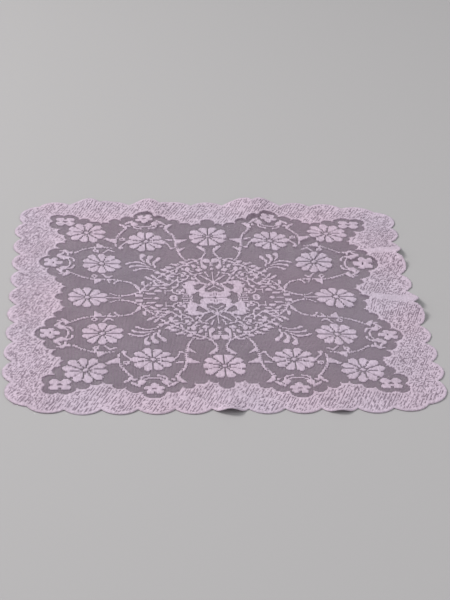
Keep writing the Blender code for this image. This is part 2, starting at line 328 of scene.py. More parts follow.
# An eye's hole is placed from the middle of the eye.
EYES = (  # x, y, half width, half height, x and y of the hole, its half width and half height
    (38.1, 16.6, 5.1, 3.5, 0, 0, 1.5, 1),
    (45.8, 0, 4.7, 7.2, 0, 1.9, 1.6, 0.9),
)
MEDALLION_STROKES = (  # width, points
    (2.3, ((23.8, 11.3), (16, 19), (10.6, 26.6), (5.2, 32.4), (0, 36))),
    (2.6, ((9.4, 30), (14, 35.5), (18.2, 42.5), (19.8, 49.5), (17.5, 54.5), (12, 56.5))),
    (2.2, ((0, 34), (0, 56))),
    (2.6, ((1, 37), (6.5, 43), (13, 50.5))),
    (2.2, ((5.2, 49.5), (7.8, 59))),
    (1.9, ((0, 25), (0, 32))),
    (1.9, ((0.5, 25), (3.4, 22), (6.4, 19))),
    (2.3, ((24.6, 11.5), (27.4, 8.2), (24.8, 4.4), (27.6, 0))),
    (2, ((28, 0), (35.8, 0))),
    (1.9, ((27.5, 4.9), (35.2, 4.9))),
    (1.9, ((26, 9.1), (34.5, 9.1))),
    (2.3, ((34.8, 10.6), (41.6, 10.6), (45.6, 14), (46.6, 19.5), (43.4, 24.5), (40, 29),
           (39.2, 35))),
    (2.3, ((39.2, 35), (35, 39.2), (31, 43), (26.5, 50))),
    (2.2, ((39.2, 33), (39.4, 42), (38.6, 50))),
    (2.2, ((40.5, 60), (37.4, 68.5), (34.4, 73))),
    (2.2, ((50, 31), (46, 35.6), (42.6, 39.8), (39.6, 44))),
    (2, ((46.4, 17.6), (54, 17))),
    (2, ((54.6, 10.5), (54.6, 18.5))),
    (1.7, ((82, 13), (75.5, 11.8))),
    (1.7, ((77, 28), (68, 29.5), (50, 30.5))),
    (1.7, ((68, 41.5), (62, 39.8), (57, 41.5))),
    (2.2, ((50.3, 42.5), (51.5, 49), (53.8, 54.5))),
    (2, ((57, 66.4), (52, 62.2), (46, 62.4), (41.5, 66.5))),
    (1.8, ((47.5, 54.8), (39, 55.4))),
    (1.8, ((37, 57.4), (31.5, 53.6))),
    (2, ((70, 0), (78, 0))),
    (2.2, ((9.6, 73.5), (10.8, 80), (10.4, 86), (8.6, 92))),
    (2.4, ((0, 74), (0, 81.5))),
    (2, ((15, 77.5), (15.4, 84), (18.5, 89))),
)
CROWN_MARKS = (  # the half-filled cells of the crown: x, y, half length, half width, angle in degrees
    (4.6, 5.4, 1.7, 0.9, 30),
    (1.8, 8.6, 3.2, 0.75, 80),
)

# ---- the border's strokes
RIM = 3.4  # plain cloth inside the scalloped edge
INNER_RIM = 2.6  # plain cloth round the net
END_STROKES = (2.75, 1.6, 2, 0.34)  # columns from one to the next, how regular, rows in one, share of cells
SIDE_STROKES = (2.1, 0.8, 1, 0.42)
STROKE_DRIFT = 0.14  # how far, as a share of their spacing, the strokes wander out of step
DRIFT_ROWS, DRIFT_COLUMNS = 14, 7  # over which they do
SIDE_BAND_X = 178.0  # past this the border's side bands begin
HIGHLIGHT_SLOPE_STEP, HIGHLIGHT_SLOPE_FALL = 4.0, 0.55  # no strokes where a side fold's far slope falls this much in a step, so that slope shows plain and light: a painted highlight
RIM_DRAWN = (1.0, 0.45)  # how far the outermost corners are drawn to the edge, at the ends and at the sides

# ---- heights and threads
DENSE_TOP = 1.10
EDGE_TOP = 0.72  # of the corners that are not in dense cloth all round
OPEN_TOP = 0.62
WALE_RIDGE = 0.24  # how far the middle of a column stands over its sides
RIDGE_UNEVENNESS = 0.09
UNDERSIDE = 0.04
WALE_HEIGHT, WALE_RADIUS, WALE_SIDES = 0.46, 0.28, 4
LINK_HEIGHT, LINK_RADIUS, LINK_SIDES = 0.44, 0.21, 3
WALE_STEP = 3  # rows from one section of a thread to the next
LINK_STEP = 2  # columns, likewise
THREAD_UNEVENNESS = 0.14
STREAKS = 0.34  # how unevenly the cells are filled, where 1 is the emptiest half-filled cell
STREAK_ROWS = 2  # in one streak

# ---- unevenness
CELL_WANDER = 0.07  # spread of the corners about their places
RIPPLES = (  # height, length across x, length across y, phase
    (0.22, 86.0, 140.0, 0.4),
    (0.16, 51.0, -67.0, 2.1),
    (0.12, -33.0, 42.0, 4.0),
)

FRAYS = (  # x, y, how many loose ends there
    (-221.5, -221.0, 4),
    (179.3, -213.0, 3),
    (143.5, -218.5, 2),
    (-53.8, -217.5, 2),
    (222.0, -150.0, 3),
    (-222.0, 60.0, 2),
    (90.0, 218.5, 3),
    (-200.0, 222.0, 2),
)
FRAY_SPREAD = 5.0
FRAY_LENGTH = (2.0, 4.5)
FRAY_ROOT = -0.25  # where it starts, as a share of its length from the edge, inside the cloth
FRAY_STATIONS = 6
FRAY_TURN = 0.9  # most that it turns aside at the edge, in radians; by its end it turns twice as far
FRAY_HEIGHTS = (0.45, 0.20)  # at its root and its end
FRAY_RADIUS, FRAY_END, FRAY_SIDES = 0.11, 0.45, 4  # FRAY_END is the share of the radius left at its end

random = np.random.default_rng(7)


# ==== outlines
def arc(start, end, bulge, steps):
    """Points of a circular arc from start up to but not including end, bulging to its left."""
    chord = math.dist(start, end)
    along = ((end[0] - start[0]) / chord, (end[1] - start[1]) / chord)
    outward = (-along[1], along[0])
    radius = (chord * chord / 4 + bulge * bulge) / (2 * bulge)
    half_angle = math.asin(min(1.0, chord / (2 * radius)))
    if bulge > radius:
        half_angle = math.pi - half_angle
    middle = ((start[0] + end[0]) / 2, (start[1] + end[1]) / 2)
    centre = [middle[i] + outward[i] * (bulge - radius) for i in (0, 1)]
    points = []
    for step in range(steps):
        angle = half_angle * (2 * step / steps - 1)
        sideways, forward = radius * math.sin(angle), radius * math.cos(angle)
        points.append(tuple(centre[i] + along[i] * sideways + outward[i] * forward for i in (0, 1)))
    return points


def outline(quarter, bulge_on_y_axis, steps):
    """A closed outline from the notches of one quarter, clockwise from the Y axis."""
    bulges_back = [bulge_on_y_axis] + [row[2] for row in quarter[:-1]]
    forward = list(quarter)
    back = [(x, y, bulge) for (x, y, _), bulge in zip(quarter, bulges_back)][::-1]
    ring = forward + [(x, -y, bulge) for x, y, bulge in back]
    ring += [(-x, -y, bulge) for x, y, bulge in forward] + [(-x, y, bulge) for x, y, bulge in back]
    points = []
    for (x, y, bulge), (next_x, next_y, _) in zip(ring, ring[1:] + ring[:1]):
        points += arc((x, y), (next_x, next_y), bulge, steps)
    return np.array(points)


def scallop_quarter():
    """(x, y, bulge) of every notch in one quarter of the scalloped edge."""
    cusps = []
    for lobe in range(LOBES_TO_CORNER_X):
        last = lobe == LOBES_TO_CORNER_X - 1
        y = CUSP_Y - (LAST_CUSP_DROP if last else 0)
        cusps.append(((lobe + 0.5) * LOBE_WIDTH_X, y, CORNER_BULGE if last else LOBE_BULGE_Y))
    for lobe in reversed(range(LOBES_TO_CORNER_Y)):
        cusps.append((CUSP_X, (lobe + 0.5) * LOBE_WIDTH_Y, LOBE_BULGE_X))
    return cusps


def inside(ring, x, y):
    """Which points lie inside a closed outline."""
    found = np.zeros(x.shape, bool)
    for (ax, ay), (bx, by) in zip(ring, np.roll(ring, -1, axis=0)):
        if ay == by:
            continue
        crosses = (ay > y) != (by > y)
        found ^= crosses & (x < (bx - ax) * (y - ay) / (by - ay) + ax)
    return found


def nearest(line, x, y, closed=False):
    """How far each point is from a line, the line's point nearest to it, and how far along it that is."""
    best = np.full(x.shape, np.inf)
    near_x, near_y, travelled = x.copy(), y.copy(), np.zeros(x.shape)
    ends = np.roll(line, -1, axis=0) if closed else line[1:]
    start = 0.0
    for (ax, ay), (bx, by) in zip(line, ends):
        dx, dy = bx - ax, by - ay
        length = math.hypot(dx, dy)
        share = np.clip(((x - ax) * dx + (y - ay) * dy) / length**2, 0, 1)
        px, py = ax + share * dx, ay + share * dy
        away = np.hypot(x - px, y - py)
        closer = away < best
        best = np.where(closer, away, best)
        near_x, near_y = np.where(closer, px, near_x), np.where(closer, py, near_y)
        travelled = np.where(closer, start + share * length, travelled)
        start += length
    return best, near_x, near_y, travelled


# ==== the chart
def curve(points, steps=5):
    """A smooth line through the points."""
    p = np.array(points, float)
    p = np.vstack([2 * p[0] - p[1], p, 2 * p[-1] - p[-2]])
    line = []
    for a, b, c, d in zip(p, p[1:], p[2:], p[3:]):
        for t in np.arange(steps) / steps:
            bend = (2 * a - 5 * b + 4 * c - d) * t**2 + (3 * b - a - 3 * c + d) * t**3
            line.append(0.5 * (2 * b + (c - a) * t + bend))
    return np.array(line + [p[-2]])


def stroke(x, y, width, points, swell=0.0, thickening=0.0):
    """A line of the given width, which may swell and thin along its length, or thicken to its end."""
    away, _, _, travelled = nearest(curve(points), x, y)
    width = width + swell * np.cos(2 * math.pi * travelled / BEAD_LENGTH)
    return away < (width + thickening * travelled / travelled.max()) / 2


def ellipse(x, y, cx, cy, half_length, half_width, degrees=0.0):
    turn = math.radians(degrees)
    u = (x - cx) * math.cos(turn) + (y - cy) * math.sin(turn)
    v = (y - cy) * math.cos(turn) - (x - cx) * math.sin(turn)
    return (u / half_length) ** 2 + (v / half_width) ** 2 < 1


def leaf(x, y, tip_x, tip_y, base_x, base_y, width):
    """A leaf that widens from its tip to a flat base."""
    length = math.dist((tip_x, tip_y), (base_x, base_y))
    dx, dy = (base_x - tip_x) / length, (base_y - tip_y) / length
    u = (x - tip_x) * dx + (y - tip_y) * dy
    v = (y - tip_y) * dx - (x - tip_x) * dy
    return (u > 0) & (u < length) & (np.abs(v) < width / 2 * (LEAF_TIP + (1 - LEAF_TIP) * u / length))


def daisy(x, y, cx, cy, radius, degrees, soft_degrees):
    """Ten blunt uneven petals round a small heart; (dense, half-filled), of which the second is one gap."""
    r, angle = np.hypot(x - cx, y - cy), np.arctan2(y - cy, x - cx) - math.radians(degrees)
    half = math.pi / PETALS
    petal = np.floor(angle / (2 * half)).astype(int) % PETALS
    off_axis = (angle % (2 * half)) - half
    u, v = r * np.cos(off_axis), np.abs(r * np.sin(off_axis))
    length = radius * (1 + PETAL_UNEVENNESS[0] * random.uniform(-1, PETAL_LONGEST, PETALS))[petal]
    width = PETAL_HALF_WIDTH * (1 + PETAL_UNEVENNESS[1] * random.uniform(-1, 1, PETALS))[petal]
    widest = PETAL_FOOT + PETAL_WIDEST * (length - PETAL_FOOT)
    reach = np.where(u > widest, length - widest, PETAL_FOOT_REACH * (widest - PETAL_FOOT))
    rounded = (np.abs(u - widest) / reach) ** PETAL_ROUNDNESS + (v / width) ** PETAL_ROUNDNESS < 1
    notched = PETAL_NOTCHES[0] * np.cos(2 * math.pi * u / PETAL_NOTCHES[1])
    parted = v < u * math.tan(half) - PETAL_GAP / 2 + notched
    dense = (u > PETAL_FOOT) & parted & rounded | (r < DAISY_HEART)
    from_gap = angle + math.radians(degrees - soft_degrees)
    soft = np.abs((from_gap + math.pi) % (2 * math.pi) - math.pi) < half / 2
    return dense, soft & ~dense & (r > PETAL_FOOT) & (r < radius * SOFT_GAP_REACH)


def corner_blossom(x, y):
    """Four fat lobes on the diagonals round a small open cross."""
    u, v = np.abs(x - CORNER_BLOSSOM[0]), np.abs(y - CORNER_BLOSSOM[1])
    slit_length, slit_width = BLOSSOM_SLIT
    cross = (u < slit_length) & (v < slit_width) | (u < slit_width) & (v < slit_length)
    body = (u < CORNER_BODY[0]) & (v < CORNER_BODY[1])
    return (ellipse(u, v, *CORNER_LOBE) | body) & ~cross


def oval_blossom(v, u):
    """Five lobes, two of them outward, round a body with a small open slit."""
    lobes = np.zeros(v.shape, bool)
    for row in OVAL_LOBES:
        lobes |= ellipse(v, u, *row)
    slit = (v < BLOSSOM_SLIT[0]) & (np.abs(u - OVAL_SLIT_U) < BLOSSOM_SLIT[1])
    notch = (v < OVAL_NOTCH[0]) & (u > OVAL_NOTCH[1])
    return lobes & ~slit & ~notch


def round_blossom(x, y, cx, cy, degrees, stretch):
    """An oval blossom with the arcs and leaves that frame it."""
    turn = math.radians(degrees)
    u = (x - cx) * math.cos(turn) + (y - cy) * math.sin(turn)
    v = np.abs((y - cy) * math.cos(turn) - (x - cx) * math.sin(turn))
    found = oval_blossom(v, u / stretch)
    for width, points in BLOSSOM_ARCS:
        found |= stroke(v, u, width, points)
    for row in BLOSSOM_LEAVES:
        found |= ellipse(v, u, *row)
    return found


def heart(x, y, grow=0.0):
    """A heart with its point up; grow moves its outline outward."""
    lobe_x, lobe_y, radius = HEART_LOBE
    lobes = np.hypot(np.abs(x) - lobe_x, y - lobe_y) < radius + grow
    slope = (lobe_x + radius) / (HEART_TIP_Y - HEART_WIDEST_Y)
    under_slopes = np.abs(x) < (HEART_TIP_Y + grow - y) * slope
    point = (y > lobe_y) & under_slopes & (np.abs(x) < lobe_x + radius + grow)
    return lobes | point


def medallion(x, y):
    """(dense, half-filled) cells of the medallion."""
    found = heart(x, y, HEART_OUTLINE)
    for row in MEDALLION_BLOBS:
        found |= ellipse(x, y, *row)
    marks = np.zeros(x.shape, bool)
    for row in CROWN_MARKS:
        marks |= ellipse(x, y, *row)
    axis_line = (y < ROW / 2) & (x < AXIS_LINE_END)
    marks |= axis_line & (x > COLUMN)
    found &= ~heart(x, y) & ~axis_line
    for row in MEDALLION_HOLES:
        found &= ~ellipse(x, y, *row)
    for width, points in MEDALLION_STROKES:
        found |= stroke(x, y, width, points, swell=MEDALLION_SWELL)
    for cx, cy, half_width, half_height, hole_x, hole_y, hole_half_width, hole_half_height in EYES:
        found |= ellipse(x, y, cx, cy, half_width, half_height)
        found &= ~ellipse(x, y, cx + hole_x, cy + hole_y, hole_half_width, hole_half_height)
    return found & ~marks, marks


def motifs(x, y):
    """(dense, half-filled) cells of one quarter, inside the net."""
    found, soft = medallion(x, y)
    found |= corner_blossom(x, y)
    for row in DAISIES:
        dense, gap = daisy(x, y, *row)
        found, soft = found | dense, soft | gap
    for row in OVAL_BLOSSOMS:
        found |= round_blossom(x, y, *row)
    for width, points in VINES:
        found |= stroke(x, y, width, points, swell=BEAD_SWELL)
    for width, points in TWIGS:
        found |= stroke(x, y, width, points)
    for row in TWIG_BUDS:
        found |= ellipse(x, y, *row)
    for row in LEAVES:
        found |= leaf(x, y, *row)
    for cx, cy, radius, width in RINGS:
        found |= np.abs(np.hypot(x - cx, y - cy) - radius) < width / 2
    for width, end_width, bud, points in SPRIGS:
        found |= stroke(x, y, width, points, thickening=end_width - width)
        found |= ellipse(x, y, *points[-1], bud, bud)
    return found, soft & ~found


def make_chart(net, x, y):
    """The kind of every cell of the middle; the motifs are the same in every quarter."""
    in_net = inside(net, x, y)
    dense, soft = motifs(np.abs(x), np.abs(y))
    return np.where(in_net, np.where(dense, DENSE, np.where(soft, OPEN, NET)), 0)


def unevenness(shape, rows, columns):
    """Random values of unit spread, alike over so many rows and columns."""
    values = random.normal(size=shape)
    values = sum(np.roll(values, step, axis=0) for step in range(rows))
    values = sum(np.roll(values, step, axis=1) for step in range(columns))
    return values / values.std()


def hatching(shape, spacing, order, length, share):
    """Broken strokes up the columns, over the given share of the cells."""
    drift = STROKE_DRIFT * unevenness(shape, DRIFT_ROWS, DRIFT_COLUMNS)
    waves = np.cos(2 * math.pi * (np.arange(shape[1]) / spacing + drift))
    pattern = order * waves + unevenness(shape, length, 1)
    return pattern > np.quantile(pattern, 1 - share)


def in_side_bands(x, y):
    """Which points lie in the border's left and right bands, which meet the others on the diagonals."""
    return (np.abs(x) > SIDE_BAND_X) & (np.abs(y) < CUSP_Y - (np.abs(x) - SIDE_BAND_X))


def border_strokes(edge, net, x, y):
    """Which cells of the border are half-filled: slanted strokes, shorter and closer in the side bands."""
    at_side = in_side_bands(x, y)
    strokes = np.where(at_side, hatching(x.shape, *SIDE_STROKES), hatching(x.shape, *END_STROKES))
    # The far slopes of the side folds face the light; leaving them plain paints a highlight there.
    smooth = at_side & (lift(x, y) - lift(x, y + HIGHLIGHT_SLOPE_STEP) > HIGHLIGHT_SLOPE_FALL)
    in_rims = (nearest(edge, x, y, True)[0] <= RIM) | (nearest(net, x, y, True)[0] <= INNER_RIM)
    return strokes & ~smooth & ~in_rims


# ==== the folds
def lift(x, y):
    """How high the folds hold the cloth off the surface."""
    height = np.zeros(x.shape)
    for edge_x, edge_y, inward_x, inward_y, half_width, reach, crest in FOLDS:
        inward = (x - edge_x) * inward_x + (y - edge_y) * inward_y
        across = np.abs((x - edge_x) * inward_y) + np.abs((y - edge_y) * inward_x)
        fade = np.cos(math.pi / 2 * np.clip(inward / reach, 0, 1)) ** 2
        height += crest * fade * np.cos(math.pi / 2 * np.clip(across / half_width, 0, 1)) ** 2
    for start_x, start_y, end_x, end_y, half_width, crest in CREASES:
        length = math.dist((start_x, start_y), (end_x, end_y))
        away, _, _, travelled = nearest(np.array([(start_x, start_y), (end_x, end_y)]), x, y)
        soft = np.cos(math.pi / 2 * np.clip(away / half_width, 0, 1)) ** 2
        height += crest * soft * np.cos(math.pi / 2 * travelled / length * CREASE_FADE)
    return height


def pulled(x, y):
    """Where points of the even pattern came to lie when the cloth was laid down."""
    to_x, to_y = x, y
    for at_x, at_y, reach, by_x, by_y in PULLS:
        share = np.cos(math.pi / 2 * np.clip(np.hypot(x - at_x, y - at_y) / reach, 0, 1)) ** 2
        to_x = to_x + by_x * share
        to_y = to_y + by_y * share
    return to_x, to_y


def off_middle(edge):
    """How far the middle of the cloth's outline would lie from the axes."""
    return [(along.min() + along.max()) / 2 for along in pulled(*edge.T)]


def lain(x, y, middle):
    """Points of the pattern where they lie, with the middle of the cloth's outline on the axes."""
    to_x, to_y = pulled(x, y)
    return to_x - middle[0], to_y - middle[1]


def ripple(x, y):
    """The slight unevenness of cloth that lies loose, never below the surface."""
    height = np.zeros(x.shape)
    for size, length_x, length_y, phase in RIPPLES:
        height += size * (1 + np.sin(2 * math.pi * (x / length_x + y / length_y) + phase)) / 2
    return height


def cells_round(cells):
    """How many of the four cells round each corner are in the set."""
    padded = np.pad(cells, 1).astype(int)
    return padded[1:, 1:] + padded[:-1, 1:] + padded[1:, :-1] + padded[:-1, :-1]


class Lattice:
    """The corners of a sheet of cells, one cell of it on the axes: where they are and how high they lie."""

    def __init__(self, half_columns, half_rows, column_pitch, row_pitch, lean=0.0):
        columns = (np.arange(-half_columns, half_columns + 1) - 0.5) * column_pitch
        rows = (np.arange(-half_rows, half_rows + 1) - 0.5) * row_pitch
        self.x, self.y = np.meshgrid(columns, rows)
        self.x = self.x + lean * self.y

    def middles(self):
        return [(grid[1:, 1:] + grid[:-1, :-1]) / 2 for grid in (self.x, self.y)]

    def wander(self):
        """Move every corner a little, as knitting never lies quite even."""
        self.x = self.x + random.normal(0, CELL_WANDER, self.x.shape)
        self.y = self.y + random.normal(0, CELL_WANDER, self.y.shape)

    def draw_to(self, corners, line):
        """Draw the outermost corners to the line."""
        x, y = self.x[corners], self.y[corners]
        _, near_x, near_y, _ = nearest(line, x, y, True)
        share = np.where(in_side_bands(x, y), RIM_DRAWN[1], RIM_DRAWN[0])
        self.x[corners] += share * (near_x - x)
        self.y[corners] += share * (near_y - y)

    def lay_down(self, middle):
        self.base = lift(self.x, self.y) + ripple(self.x, self.y)
        self.x, self.y = lain(self.x, self.y, middle)


# ==== meshes
TOP_MAP = (0.63, 0.74)  # middle and scale of the top's part of a piece's map
UNDER_MAP = (0.125, 0.25)
RING_TOP_MAP = (0.5, 1.0)  # the border's underside fits the empty middle of its top
RING_UNDER_MAP = (0.5, 0.68)
MAP_SPAN = 460.0  # of the cloth, to one width of the map
WALL_SLOPE = 0.35  # faces whose normal points up or down by less than this are walls
WALL_SHARE = 0.6  # of a wall's height, by which it is laid out beside the top in the map


def new_mesh(name, points, faces, material):
    """A smooth-shaded mesh object, from points in millimetres; points that no face uses are dropped."""
    flat = np.concatenate([np.asarray(face) for face in faces])
    used, places = np.unique(flat, return_inverse=True)
    ends = np.cumsum([len(face) for face in faces])
    faces = [part.tolist() for part in np.split(places.ravel(), ends[:-1])]
    mesh = bpy.data.meshes.new(name)
    mesh.from_pydata((np.asarray(points)[used] * MM).tolist(), [], faces)
    mesh.materials.append(material)
    mesh.polygons.foreach_set("use_smooth", np.ones(len(mesh.polygons), bool))
    piece = bpy.data.objects.new(name, mesh)
    bpy.context.scene.collection.objects.link(piece)
    return piece


def lay_out(piece, top_map, under_map):
    """The piece's map: the top as seen from above, with each wall beside it, and the underside apart."""
    mesh = piece.data
    vertex, totals = np.empty(len(mesh.loops), int), np.empty(len(mesh.polygons), int)
    points, normals = np.empty(3 * len(mesh.vertices)), np.empty(3 * len(mesh.polygons))
    mesh.loops.foreach_get("vertex_index", vertex)
    mesh.polygons.foreach_get("loop_total", totals)
    mesh.vertices.foreach_get("co", points)
    mesh.polygons.foreach_get("normal", normals)
    points = points.reshape(-1, 3)[vertex] / MM
    normals = np.repeat(normals.reshape(-1, 3), totals, axis=0)
    starts = np.append(0, np.cumsum(totals)[:-1])
    drop = np.repeat(np.maximum.reduceat(points[:, 2], starts), totals) - points[:, 2]
    wall = np.abs(normals[:, 2]) < WALL_SLOPE
    flat = points[:, :2] + normals[:, :2] * (WALL_SHARE * drop * wall)[:, None]
    middle, scale = np.where((normals[:, 2] > -WALL_SLOPE)[:, None], top_map, under_map).T[:, :, None]
    layer = mesh.uv_layers.new(name="OFBake")
    layer.data.foreach_set("uv", (middle + scale * flat / MAP_SPAN).ravel())


def underside(cells, corner):
    """Faces under the cells, one to each full block of two by two, that meet their neighbours' corners."""
    blocks = cells[0::2, 0::2] & cells[1::2, 0::2] & cells[0::2, 1::2] & cells[1::2, 1::2]
    around = np.pad(blocks, 1)
    faces = []
    for row, column in zip(*np.nonzero(blocks)):
        r, c = 2 * row, 2 * column
        ring = [corner[r, c], corner[r + 2, c], corner[r + 2, c + 2], corner[r, c + 2]]
        middles = [corner[r + 1, c], corner[r + 2, c + 1], corner[r + 1, c + 2], corner[r, c + 1]]
        joined = [around[row + 1, column], around[row + 2, column + 1]]
        joined += [around[row + 1, column + 2], around[row, column + 1]]
        face = []
        for end, middle, whole in zip(ring, middles, joined):
            face += [end] if whole else [end, middle]
        faces.append(face)
    single = cells & ~np.repeat(np.repeat(blocks, 2, axis=0), 2, axis=1)
    for r, c in zip(*np.nonzero(single)):
        faces.append([corner[r, c], corner[r + 1, c], corner[r + 1, c + 1], corner[r, c + 1]])
    return faces


def relief_points(lattice, cells, opened):
    """Corners of the top, then the middles of the ridges up the columns, then corners of the underside."""
    around, open_around = cells_round(cells), cells_round(opened)
    top = np.where(around < 4, EDGE_TOP, DENSE_TOP) - (DENSE_TOP - OPEN_TOP) * open_around / 4
    stacked, open_stacked = (np.pad(grid, ((1, 1), (0, 0))).astype(int) for grid in (cells, opened))
    whole, open_whole = stacked[1:] + stacked[:-1], open_stacked[1:] + open_stacked[:-1]
    ridge_top = np.where(whole < 2, EDGE_TOP, DENSE_TOP) + WALE_RIDGE
    ridge_top = ridge_top - (DENSE_TOP + WALE_RIDGE - OPEN_TOP) * open_whole / 2
    ridge_top += random.normal(0, RIDGE_UNEVENNESS, ridge_top.shape)
    x, y, base = lattice.x, lattice.y, lattice.base
    ridge_x, ridge_y, ridge_base = ((grid[:, 1:] + grid[:, :-1]) / 2 for grid in (x, y, base))
    layers = (x, y, base + top), (ridge_x, ridge_y, ridge_base + ridge_top), (x, y, base + UNDERSIDE)
    return np.concatenate([np.stack(layer, -1).reshape(-1, 3) for layer in layers])


def relief_faces(cells):
    """Two faces to the top of every cell, first all left ones and then all right ones; underside; walls."""
    rows, columns = cells.shape
    corner = np.arange((rows + 1) * (columns + 1)).reshape(rows + 1, columns + 1)
    ridge = corner.size + np.arange((rows + 1) * columns).reshape(rows + 1, columns)
    down = corner.size + ridge.size
    near_left, near_right = corner[:-1, :-1][cells], corner[:-1, 1:][cells]
    far_right, far_left = corner[1:, 1:][cells], corner[1:, :-1][cells]
    near_ridge, far_ridge = ridge[:-1][cells], ridge[1:][cells]
    faces = np.stack([near_left, near_ridge, far_ridge, far_left], 1).tolist()
    faces += np.stack([near_ridge, near_right, far_right, far_ridge], 1).tolist()
    faces += underside(cells, corner + down)
    padded = np.pad(cells, 1)
    near_bare, right_bare = ~padded[:-2, 1:-1][cells], ~padded[1:-1, 2:][cells]
    far_bare, left_bare = ~padded[2:, 1:-1][cells], ~padded[1:-1, :-2][cells]
    for start, end, bare in ((near_right, far_right, right_bare), (far_left, near_left, left_bare)):
        faces += np.stack([start, start + down, end + down, end], 1)[bare].tolist()
    near_wall, far_wall = (near_left, near_right, near_ridge), (far_right, far_left, far_ridge)
    for (start, end, crest), bare in ((near_wall, near_bare), (far_wall, far_bare)):
        faces += np.stack([start, start + down, end + down, end, crest], 1)[bare].tolist()
    return faces


def relief(name, lattice, cells, opened, material):
    """A closed mesh over the cells: a ridge up every column, half-filled cells sunk, and a flat back."""
    rows, columns = cells.shape
    piece = new_mesh(name, relief_points(lattice, cells, opened), relief_faces(cells), material)
    streaks = np.repeat(random.uniform(0, STREAKS, (rows // STREAK_ROWS + 1, columns)), STREAK_ROWS, axis=0)
    openness = np.zeros(len(piece.data.polygons), np.float32)
    openness[:2 * cells.sum()] = np.tile((opened * (1 - STREAKS) + streaks[:rows])[cells], 2)
    layer = piece.data.attributes.new("openness", "FLOAT", "FACE")
    layer.data.foreach_set("value", openness)
    return piece


def thread_runs(present):
    """(line, first, last) of every unbroken run along the second axis."""
    edges = np.diff(np.pad(present, ((0, 0), (1, 1))).astype(int), axis=1)
    for line in np.flatnonzero(present.any(1)):
        for first, last in zip(np.flatnonzero(edges[line] == 1), np.flatnonzero(edges[line] == -1)):
            yield line, first, last


def prism(path, radii, sides, count):
    """Points and faces of a thin closed prism along a path."""
    angles = math.pi / 2 + 2 * math.pi * np.arange(sides) / sides
    along = path[-1] - path[0]
    across = np.array([-along[1], along[0], 0.0]) / np.hypot(along[0], along[1])
    ring = np.cos(angles)[:, None] * across + np.sin(angles)[:, None] * np.array([0, 0, 1.0])
    points = (path[:, None] + np.asarray(radii)[:, None, None] * ring).reshape(-1, 3)
    faces = []
    for i in range(len(path) - 1):
        low = count + i * sides
        for k in range(sides):
            n = (k + 1) % sides
            faces.append((low + k, low + n, low + sides + n, low + sides + k))
    end = count + (len(path) - 1) * sides
    faces += [tuple(range(count + sides - 1, count - 1, -1)), tuple(range(end, end + sides))]
    return points, faces


def prisms(name, paths, sides, material):
    """One mesh of thin prisms. Each path comes with its radii."""
    points, faces, count = [], [], 0
    for path, radii in paths:
        new_points, new_faces = prism(path, radii, sides, count)
        points.append(new_points)
        faces += new_faces
        count += len(new_points)
    return new_mesh(name, np.concatenate(points), faces, material)


def thread_paths(present, x, y, z, radius, step):
    """A path along every unbroken run of the lattice's points."""
    for line, first, last in thread_runs(present):
        stops = np.unique(np.append(np.arange(first, last, step), last))
        radii = radius * (1 + random.uniform(-1, 1, len(stops)) * THREAD_UNEVENNESS)
        yield np.stack([x[line, stops], y[line, stops], z[line, stops]], 1), radii


def net_threads(lattice, kinds, material):
    """The net: threads up the column lines and across the row lines between cells of net.

    They run on for one cell under the border.
    """
    net = np.pad(kinds == NET, 1)
    under_border = np.pad(kinds == 0, 1)
    beside_net = np.roll(net, 1, 0) | np.roll(net, -1, 0) | np.roll(net, 1, 1) | np.roll(net, -1, 1)
    net |= under_border & beside_net
    up = (net[1:-1, 1:] & net[1:-1, :-1]).T
    across = net[1:, 1:-1] & net[:-1, 1:-1]
    x, y, base = lattice.x, lattice.y, lattice.base
    wales = thread_paths(up, x.T, y.T, base.T + WALE_HEIGHT, WALE_RADIUS, WALE_STEP)
    links = thread_paths(across, x, y, base + LINK_HEIGHT, LINK_RADIUS, LINK_STEP)
    net_wales = prisms("net_wales", wales, WALE_SIDES, material)
    net_links = prisms("net_links", links, LINK_SIDES, material)
    return net_wales, net_links


def fray_paths(edge, off):
    """A path for every loose end, from just inside the scalloped edge down to the surface."""
    middles = (edge + np.roll(edge, -1, axis=0)) / 2
    for x, y, ends in FRAYS:
        for _ in range(ends):
            near = np.array([x, y]) + random.uniform(-FRAY_SPREAD, FRAY_SPREAD, 2)
            closest = np.argmin(np.hypot(*(middles - near).T))
            tangent = edge[(closest + 1) % len(edge)] - edge[closest]
            outward = np.array([-tangent[1], tangent[0]]) / np.hypot(*tangent)
            aside = np.array([-outward[1], outward[0]])
            turn = random.uniform(-FRAY_TURN, FRAY_TURN)
            length = random.uniform(*FRAY_LENGTH)
            path = []
            for share in np.linspace(FRAY_ROOT, 1, FRAY_STATIONS):
                bend = turn * (1 + share)
                way = outward * math.cos(bend) + aside * math.sin(bend)
                path.append(middles[closest] + way * length * share)
            path = np.array(path)
            height = lift(*path.T) + np.linspace(*FRAY_HEIGHTS, FRAY_STATIONS)
            radii = FRAY_RADIUS * np.linspace(1, FRAY_END, FRAY_STATIONS)
            yield np.column_stack([*lain(*path.T, off), height]), radii


# ==== materials
YARN = (0.61, 0.495, 0.595)
